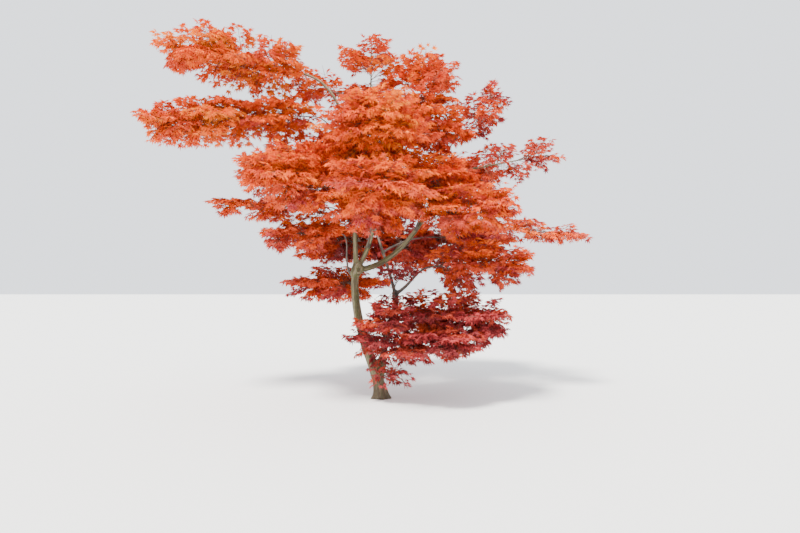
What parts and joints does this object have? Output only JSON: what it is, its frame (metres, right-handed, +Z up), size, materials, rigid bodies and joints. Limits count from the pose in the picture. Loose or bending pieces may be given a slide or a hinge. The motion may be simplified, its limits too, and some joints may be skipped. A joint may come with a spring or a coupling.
{
  "type": "japanese maple tree",
  "caption": "Garden-sized japanese maple rooted in the ground: twin leaning stems, forking boughs and layered sprays of lobed orange, scarlet and crimson leaves.",
  "frame": {"origin": "centre of the flat cut under the trunk, at ground level", "axes": "+Z up the tree; +X to the right and +Y away from a viewer who sees the taller stem lean left; the ground cut faces -Z"},
  "size_m": [4.3803, 3.1891, 3.8014],
  "materials": {
    "bark_pale": "smooth living bark, olive grey with pale vertical streaks",
    "bark_dark": "smooth living bark, dull brown",
    "leaves_orange": "thin matte leaf, orange",
    "leaves_red": "thin matte leaf, scarlet",
    "leaves_crimson": "thin matte leaf, crimson",
    "leaves_maroon": "thin matte leaf, dark maroon"
  },
  "bodies": {
    "root": {"bough_back_left": "bark_dark", "bough_back_left_high": "bark_dark", "bough_back_low": "bark_dark", "bough_back_right": "bark_dark", "bough_back_right_high": "bark_dark", "bough_back_top": "bark_dark", "bough_centre": "bark_dark", "bough_front_high": "bark_dark", "bough_front_left": "bark_dark", "bough_front_low": "bark_dark", "bough_front_right": "bark_dark", "bough_left_high": "bark_dark", "bough_left_leader": "bark_pale", "bough_left_lower": "bark_dark", "bough_left_middle": "bark_dark", "bough_left_pad": "bark_dark", "bough_left_spray": "bark_dark", "bough_low_right": "bark_dark", "bough_low_right_under": "bark_dark", "bough_middle_right": "bark_dark", "bough_rear_leader": "bark_dark", "bough_right_high": "bark_dark", "bough_right_leader": "bark_pale", "bough_right_low": "bark_dark", "bough_right_spray": "bark_dark", "bough_right_spreader": "bark_pale", "bough_top_right": "bark_dark", "bough_upper_left": "bark_dark", "foliage_back_left": "leaves_red", "foliage_back_left_high": "leaves_red", "foliage_back_low": "leaves_maroon", "foliage_back_right": "leaves_red", "foliage_back_right_high": "leaves_red", "foliage_back_top": "leaves_orange", "foliage_centre": "leaves_orange", "foliage_front_high": "leaves_orange", "foliage_front_left": "leaves_orange", "foliage_front_low": "leaves_orange", "foliage_front_right": "leaves_red", "foliage_left_high": "leaves_orange", "foliage_left_leader": "leaves_orange", "foliage_left_lower": "leaves_red", "foliage_left_middle": "leaves_orange", "foliage_left_pad": "leaves_red", "foliage_left_spray": "leaves_red", "foliage_low_left": "leaves_crimson", "foliage_low_right": "leaves_crimson", "foliage_low_right_under": "leaves_crimson", "foliage_lowest": "leaves_crimson", "foliage_middle_right": "leaves_orange", "foliage_rear_leader": "leaves_red", "foliage_right_high": "leaves_maroon", "foliage_right_leader": "leaves_orange", "foliage_right_low": "leaves_red", "foliage_right_spray": "leaves_maroon", "foliage_right_spreader": "leaves_maroon", "foliage_top_right": "leaves_orange", "foliage_upper_left": "leaves_orange", "second_stem": "bark_dark", "trunk": "bark_pale"}
  },
  "joints": []
}
